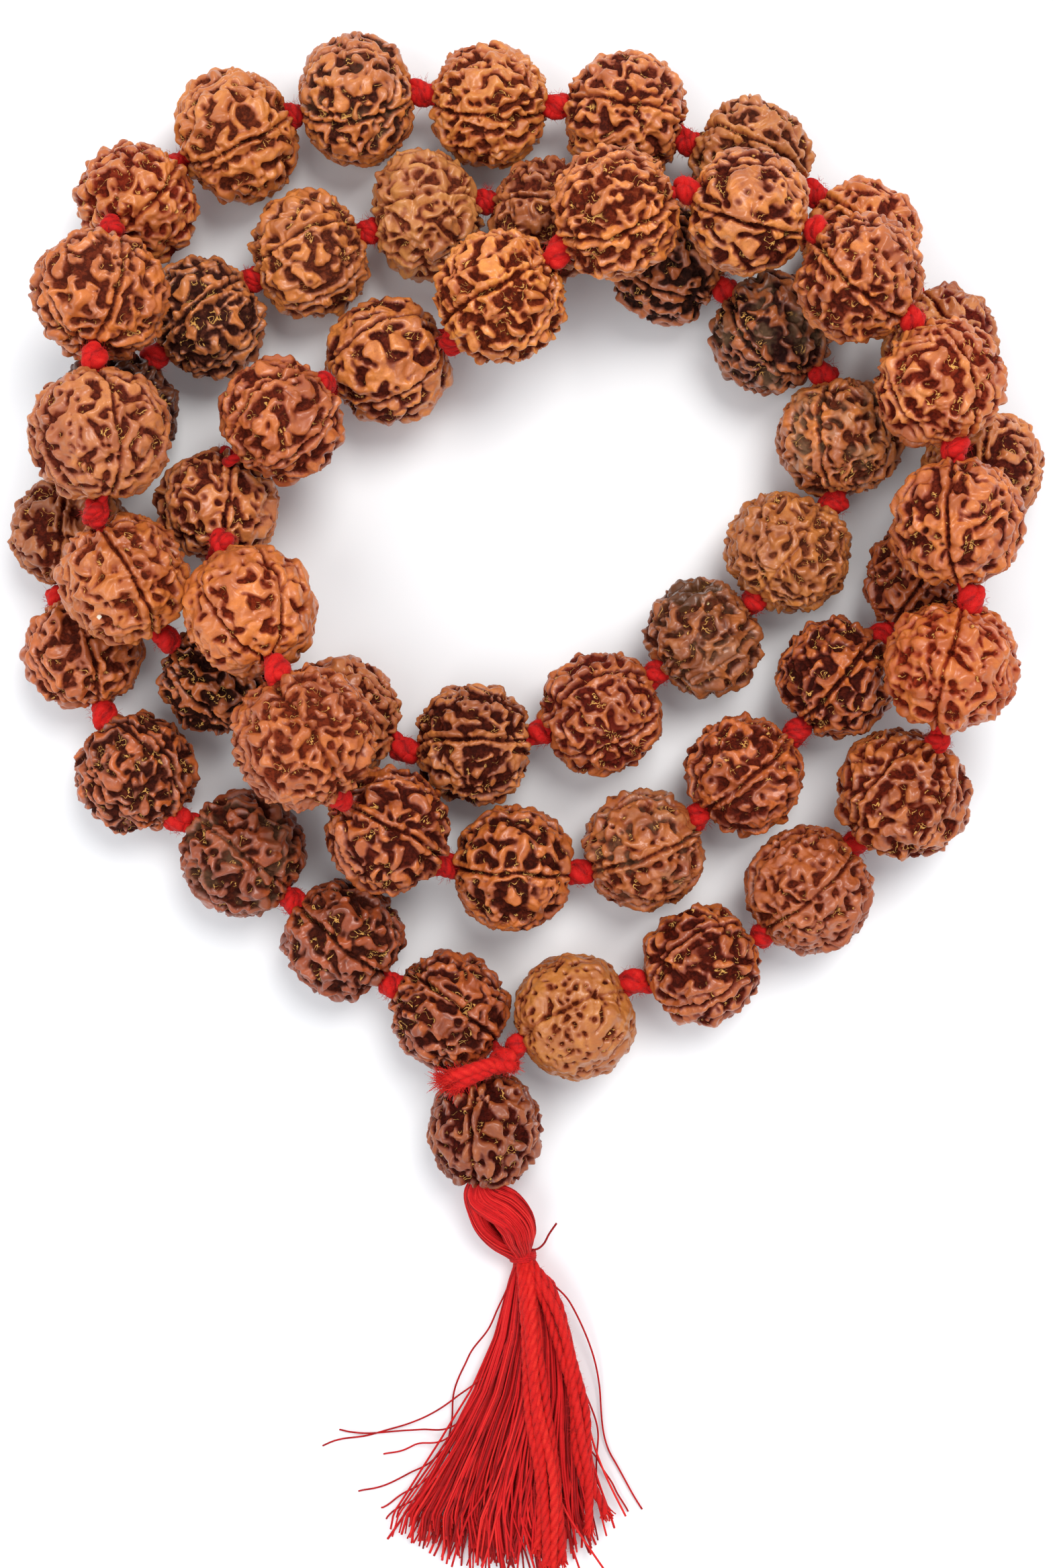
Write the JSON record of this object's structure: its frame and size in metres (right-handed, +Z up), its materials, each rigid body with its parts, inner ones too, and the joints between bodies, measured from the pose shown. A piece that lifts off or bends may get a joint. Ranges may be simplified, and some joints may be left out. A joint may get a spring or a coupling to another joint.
{
  "type": "mala prayer beads",
  "caption": "Long knotted loop of furrowed rudraksha seeds on red woollen yarn, lying coiled, with a guru bead and a red thread tassel.",
  "frame": {"origin": "middle of the footprint, on the surface that the beads lie on", "axes": "+Z up from the surface, +Y from the tassel towards the far side of the coil, +X to the right of the tassel seen from above"},
  "size_m": [0.1812, 0.2706, 0.0462],
  "materials": {
    "seed_light": "satin, deeply furrowed seed shell rubbed with oil",
    "seed_warm": "satin, deeply furrowed seed shell rubbed with oil",
    "seed_brown": "satin, deeply furrowed seed shell rubbed with oil",
    "seed_dark": "satin, deeply furrowed seed shell rubbed with oil",
    "woollen_yarn": "fuzzy plied wool",
    "tassel_thread": "fine silky thread"
  },
  "bodies": {
    "cord": {"stringing_cord": "woollen_yarn"},
    "bead_01": {"bead_01": "seed_light"},
    "bead_02": {"bead_02": "seed_brown"},
    "bead_03": {"bead_03": "seed_warm"},
    "bead_04": {"bead_04": "seed_brown"},
    "bead_05": {"bead_05": "seed_warm"},
    "bead_06": {"bead_06": "seed_warm"},
    "bead_07": {"bead_07": "seed_warm"},
    "bead_08": {"bead_08": "seed_warm"},
    "bead_09": {"bead_09": "seed_brown"},
    "bead_10": {"bead_10": "seed_brown"},
    "bead_11": {"bead_11": "seed_warm"},
    "bead_12": {"bead_12": "seed_brown"},
    "bead_13": {"bead_13": "seed_brown"},
    "bead_14": {"bead_14": "seed_brown"},
    "bead_15": {"bead_15": "seed_brown"},
    "bead_16": {"bead_16": "seed_warm"},
    "bead_17": {"bead_17": "seed_brown"},
    "bead_18": {"bead_18": "seed_brown"},
    "bead_19": {"bead_19": "seed_brown"},
    "bead_20": {"bead_20": "seed_brown"},
    "bead_21": {"bead_21": "seed_brown"},
    "bead_22": {"bead_22": "seed_brown"},
    "bead_23": {"bead_23": "seed_brown"},
    "bead_24": {"bead_24": "seed_brown"},
    "bead_25": {"bead_25": "seed_brown"},
    "bead_26": {"bead_26": "seed_brown"},
    "bead_27": {"bead_27": "seed_brown"},
    "bead_28": {"bead_28": "seed_brown"},
    "bead_29": {"bead_29": "seed_brown"},
    "bead_30": {"bead_30": "seed_warm"},
    "bead_31": {"bead_31": "seed_brown"},
    "bead_32": {"bead_32": "seed_warm"},
    "bead_33": {"bead_33": "seed_warm"},
    "bead_34": {"bead_34": "seed_warm"},
    "bead_35": {"bead_35": "seed_dark"},
    "bead_36": {"bead_36": "seed_brown"},
    "bead_37": {"bead_37": "seed_brown"},
    "bead_38": {"bead_38": "seed_brown"},
    "bead_39": {"bead_39": "seed_brown"},
    "bead_40": {"bead_40": "seed_warm"},
    "bead_41": {"bead_41": "seed_brown"},
    "bead_42": {"bead_42": "seed_brown"},
    "bead_43": {"bead_43": "seed_brown"},
    "bead_44": {"bead_44": "seed_brown"},
    "bead_45": {"bead_45": "seed_brown"},
    "bead_46": {"bead_46": "seed_brown"},
    "bead_47": {"bead_47": "seed_dark"},
    "bead_48": {"bead_48": "seed_brown"},
    "bead_49": {"bead_49": "seed_brown"},
    "bead_50": {"bead_50": "seed_brown"},
    "bead_51": {"bead_51": "seed_brown"},
    "bead_52": {"bead_52": "seed_brown"},
    "bead_53": {"bead_53": "seed_brown"},
    "bead_54": {"bead_54": "seed_brown"},
    "guru_bead": {"guru_bead": "seed_brown"},
    "tassel_head": {"tassel_head": "tassel_thread"},
    "tassel_skirt": {"neck_binding": "woollen_yarn", "tassel_skirt": "tassel_thread", "woolly_yarn_ends": "woollen_yarn"}
  },
  "joints": [
    {"name": "bead_01_spin", "type": "hinge", "parent": "cord", "child": "bead_01", "pos_m": [0.00835, -0.03652, 0.01114], "axis": [0.915, 0.4035, 0], "continuous": true},
    {"name": "bead_02_spin", "type": "hinge", "parent": "cord", "child": "bead_02", "pos_m": [0.03071, -0.02756, 0.01052], "axis": [0.8805, 0.4741, 0], "continuous": true},
    {"name": "bead_03_spin", "type": "hinge", "parent": "cord", "child": "bead_03", "pos_m": [0.04937, -0.01447, 0.01114], "axis": [0.757, 0.6534, 0], "continuous": true},
    {"name": "bead_04_spin", "type": "hinge", "parent": "cord", "child": "bead_04", "pos_m": [0.06553, 0.00254, 0.01397], "axis": [0.4782, 0.8183, 0.319], "continuous": true},
    {"name": "bead_05_spin", "type": "hinge", "parent": "cord", "child": "bead_05", "pos_m": [0.07192, 0.02416, 0.02614], "axis": [0.1338, 0.9283, 0.3469], "continuous": true},
    {"name": "bead_06_spin", "type": "hinge", "parent": "cord", "child": "bead_06", "pos_m": [0.07206, 0.04793, 0.0309], "axis": [-0.0505, 0.9964, 0.068], "continuous": true},
    {"name": "bead_07_spin", "type": "hinge", "parent": "cord", "child": "bead_07", "pos_m": [0.06956, 0.07139, 0.02935], "axis": [-0.368, 0.9295, -0.0244], "continuous": true},
    {"name": "bead_08_spin", "type": "hinge", "parent": "cord", "child": "bead_08", "pos_m": [0.05589, 0.08885, 0.02985], "axis": [-0.7455, 0.6665, -0.0035], "continuous": true},
    {"name": "bead_09_spin", "type": "hinge", "parent": "cord", "child": "bead_09", "pos_m": [0.0373, 0.10028, 0.02916], "axis": [-0.9662, 0.2571, 0.0175], "continuous": true},
    {"name": "bead_10_spin", "type": "hinge", "parent": "cord", "child": "bead_10", "pos_m": [0.01499, 0.09974, 0.03059], "axis": [-0.9478, -0.3061, -0.0889], "continuous": true},
    {"name": "bead_11_spin", "type": "hinge", "parent": "cord", "child": "bead_11", "pos_m": [-0.00446, 0.08682, 0.02523], "axis": [-0.8119, -0.4556, -0.3649], "continuous": true},
    {"name": "bead_12_spin", "type": "hinge", "parent": "cord", "child": "bead_12", "pos_m": [-0.02408, 0.07783, 0.01303], "axis": [-0.8756, -0.4814, -0.0401], "continuous": true},
    {"name": "bead_13_spin", "type": "hinge", "parent": "cord", "child": "bead_13", "pos_m": [-0.04187, 0.06628, 0.02355], "axis": [-0.7604, -0.6494, -0.007], "continuous": true},
    {"name": "bead_14_spin", "type": "hinge", "parent": "cord", "child": "bead_14", "pos_m": [-0.05381, 0.05248, 0.01277], "axis": [-0.1318, -0.9747, 0.1805], "continuous": true},
    {"name": "bead_15_spin", "type": "hinge", "parent": "cord", "child": "bead_15", "pos_m": [-0.04632, 0.0333, 0.02964], "axis": [0.3454, -0.8339, 0.4305], "continuous": true},
    {"name": "bead_16_spin", "type": "hinge", "parent": "cord", "child": "bead_16", "pos_m": [-0.03693, 0.01173, 0.03383], "axis": [0.5047, -0.8301, -0.2368], "continuous": true},
    {"name": "bead_17_spin", "type": "hinge", "parent": "cord", "child": "bead_17", "pos_m": [-0.02375, -0.00388, 0.01901], "axis": [0.7335, -0.4764, -0.4848], "continuous": true},
    {"name": "bead_18_spin", "type": "hinge", "parent": "cord", "child": "bead_18", "pos_m": [-0.00243, -0.01071, 0.01102], "axis": [0.9966, -0.0819, 0], "continuous": true},
    {"name": "bead_19_spin", "type": "hinge", "parent": "cord", "child": "bead_19", "pos_m": [0.02047, -0.00753, 0.01064], "axis": [0.9259, 0.3778, 0], "continuous": true},
    {"name": "bead_20_spin", "type": "hinge", "parent": "cord", "child": "bead_20", "pos_m": [0.03817, 0.00582, 0.01047], "axis": [0.7466, 0.6652, 0], "continuous": true},
    {"name": "bead_21_spin", "type": "hinge", "parent": "cord", "child": "bead_21", "pos_m": [0.05451, 0.02277, 0.01058], "axis": [0.6769, 0.7361, 0], "continuous": true},
    {"name": "bead_22_spin", "type": "hinge", "parent": "cord", "child": "bead_22", "pos_m": [0.0694, 0.03976, 0.01025], "axis": [0.5707, 0.8211, 0], "continuous": true},
    {"name": "bead_23_spin", "type": "hinge", "parent": "cord", "child": "bead_23", "pos_m": [0.07989, 0.05928, 0.01058], "axis": [0.0767, 0.9971, 0], "continuous": true},
    {"name": "bead_24_spin", "type": "hinge", "parent": "cord", "child": "bead_24", "pos_m": [0.07263, 0.0816, 0.01003], "axis": [-0.4633, 0.8862, 0], "continuous": true},
    {"name": "bead_25_spin", "type": "hinge", "parent": "cord", "child": "bead_25", "pos_m": [0.05873, 0.09967, 0.01035], "axis": [-0.7242, 0.6896, 0], "continuous": true},
    {"name": "bead_26_spin", "type": "hinge", "parent": "cord", "child": "bead_26", "pos_m": [0.03927, 0.11332, 0.01069], "axis": [-0.887, 0.4617, 0], "continuous": true},
    {"name": "bead_27_spin", "type": "hinge", "parent": "cord", "child": "bead_27", "pos_m": [0.01739, 0.1212, 0.01102], "axis": [-0.9785, 0.2062, 0], "continuous": true},
    {"name": "bead_28_spin", "type": "hinge", "parent": "cord", "child": "bead_28", "pos_m": [-0.00659, 0.12298, 0.01058], "axis": [-0.9985, 0.0541, 0], "continuous": true},
    {"name": "bead_29_spin", "type": "hinge", "parent": "cord", "child": "bead_29", "pos_m": [-0.02975, 0.12372, 0.01136], "axis": [-0.9919, -0.1271, 0], "continuous": true},
    {"name": "bead_30_spin", "type": "hinge", "parent": "cord", "child": "bead_30", "pos_m": [-0.05064, 0.1173, 0.01169], "axis": [-0.9003, -0.4352, 0], "continuous": true},
    {"name": "bead_31_spin", "type": "hinge", "parent": "cord", "child": "bead_31", "pos_m": [-0.06798, 0.10521, 0.01298], "axis": [-0.5231, -0.7583, 0.3891], "continuous": true},
    {"name": "bead_32_spin", "type": "hinge", "parent": "cord", "child": "bead_32", "pos_m": [-0.07192, 0.08641, 0.02757], "axis": [-0.0628, -0.8981, 0.4352], "continuous": true},
    {"name": "bead_33_spin", "type": "hinge", "parent": "cord", "child": "bead_33", "pos_m": [-0.07094, 0.0623, 0.03378], "axis": [0.0784, -0.9967, -0.0227], "continuous": true},
    {"name": "bead_34_spin", "type": "hinge", "parent": "cord", "child": "bead_34", "pos_m": [-0.06815, 0.03893, 0.0265], "axis": [0.3433, -0.8248, -0.4493], "continuous": true},
    {"name": "bead_35_spin", "type": "hinge", "parent": "cord", "child": "bead_35", "pos_m": [-0.0544, 0.02257, 0.01218], "axis": [0.7847, -0.5115, -0.3502], "continuous": true},
    {"name": "bead_36_spin", "type": "hinge", "parent": "cord", "child": "bead_36", "pos_m": [-0.03253, 0.01567, 0.01058], "axis": [0.9686, -0.2487, 0], "continuous": true},
    {"name": "bead_37_spin", "type": "hinge", "parent": "cord", "child": "bead_37", "pos_m": [-0.00934, 0.01105, 0.01069], "axis": [0.9998, 0.0192, 0], "continuous": true},
    {"name": "bead_38_spin", "type": "hinge", "parent": "cord", "child": "bead_38", "pos_m": [0.01299, 0.01656, 0.01069], "axis": [0.9078, 0.4195, 0], "continuous": true},
    {"name": "bead_39_spin", "type": "hinge", "parent": "cord", "child": "bead_39", "pos_m": [0.03104, 0.02971, 0.01047], "axis": [0.7581, 0.6521, 0], "continuous": true},
    {"name": "bead_40_spin", "type": "hinge", "parent": "cord", "child": "bead_40", "pos_m": [0.04584, 0.0448, 0.01102], "axis": [0.5635, 0.8261, 0], "continuous": true},
    {"name": "bead_41_spin", "type": "hinge", "parent": "cord", "child": "bead_41", "pos_m": [0.05484, 0.06466, 0.01114], "axis": [-0.0732, 0.9973, 0], "continuous": true},
    {"name": "bead_42_spin", "type": "hinge", "parent": "cord", "child": "bead_42", "pos_m": [0.04303, 0.08329, 0.0108], "axis": [-0.7009, 0.7133, 0], "continuous": true},
    {"name": "bead_43_spin", "type": "hinge", "parent": "cord", "child": "bead_43", "pos_m": [0.0247, 0.09537, 0.01058], "axis": [-0.8934, 0.4493, 0], "continuous": true},
    {"name": "bead_44_spin", "type": "hinge", "parent": "cord", "child": "bead_44", "pos_m": [0.00364, 0.10307, 0.0108], "axis": [-0.9813, 0.1925, 0], "continuous": true},
    {"name": "bead_45_spin", "type": "hinge", "parent": "cord", "child": "bead_45", "pos_m": [-0.01756, 0.10367, 0.01136], "axis": [-0.9885, -0.1513, 0], "continuous": true},
    {"name": "bead_46_spin", "type": "hinge", "parent": "cord", "child": "bead_46", "pos_m": [-0.03794, 0.09674, 0.01114], "axis": [-0.9078, -0.4195, 0], "continuous": true},
    {"name": "bead_47_spin", "type": "hinge", "parent": "cord", "child": "bead_47", "pos_m": [-0.05621, 0.08581, 0.0108], "axis": [-0.7815, -0.6239, 0], "continuous": true},
    {"name": "bead_48_spin", "type": "hinge", "parent": "cord", "child": "bead_48", "pos_m": [-0.07195, 0.06955, 0.01091], "axis": [-0.5388, -0.8425, 0], "continuous": true},
    {"name": "bead_49_spin", "type": "hinge", "parent": "cord", "child": "bead_49", "pos_m": [-0.08018, 0.04825, 0.01025], "axis": [-0.1357, -0.9907, 0], "continuous": true},
    {"name": "bead_50_spin", "type": "hinge", "parent": "cord", "child": "bead_50", "pos_m": [-0.07771, 0.02739, 0.01035], "axis": [0.2706, -0.9627, 0], "continuous": true},
    {"name": "bead_51_spin", "type": "hinge", "parent": "cord", "child": "bead_51", "pos_m": [-0.06837, 0.00617, 0.01069], "axis": [0.6239, -0.7815, 0], "continuous": true},
    {"name": "bead_52_spin", "type": "hinge", "parent": "cord", "child": "bead_52", "pos_m": [-0.04955, -0.00786, 0.01102], "axis": [0.7793, -0.6266, 0], "continuous": true},
    {"name": "bead_53_spin", "type": "hinge", "parent": "cord", "child": "bead_53", "pos_m": [-0.0321, -0.02294, 0.01047], "axis": [0.7912, -0.6115, 0], "continuous": true},
    {"name": "bead_54_spin", "type": "hinge", "parent": "cord", "child": "bead_54", "pos_m": [-0.0136, -0.03563, 0.01035], "axis": [0.8059, -0.592, 0], "continuous": true},
    {"name": "guru_spin", "type": "hinge", "parent": "cord", "child": "guru_bead", "pos_m": [-0.00733, -0.05634, 0.01003], "axis": [-0.0506, -0.9987, 0], "continuous": true},
    {"name": "tassel_swing", "type": "hinge", "parent": "cord", "child": "tassel_head", "pos_m": [-0.00802, -0.06856, 0.0092], "axis": [0, 0, 1], "range_deg": [-35, 30]},
    {"name": "tassel_lift", "type": "hinge", "parent": "tassel_head", "child": "tassel_skirt", "pos_m": [-0.00072, -0.07976, 0.004], "axis": [-1, 0, 0], "range_deg": [0, 60]}
  ]
}
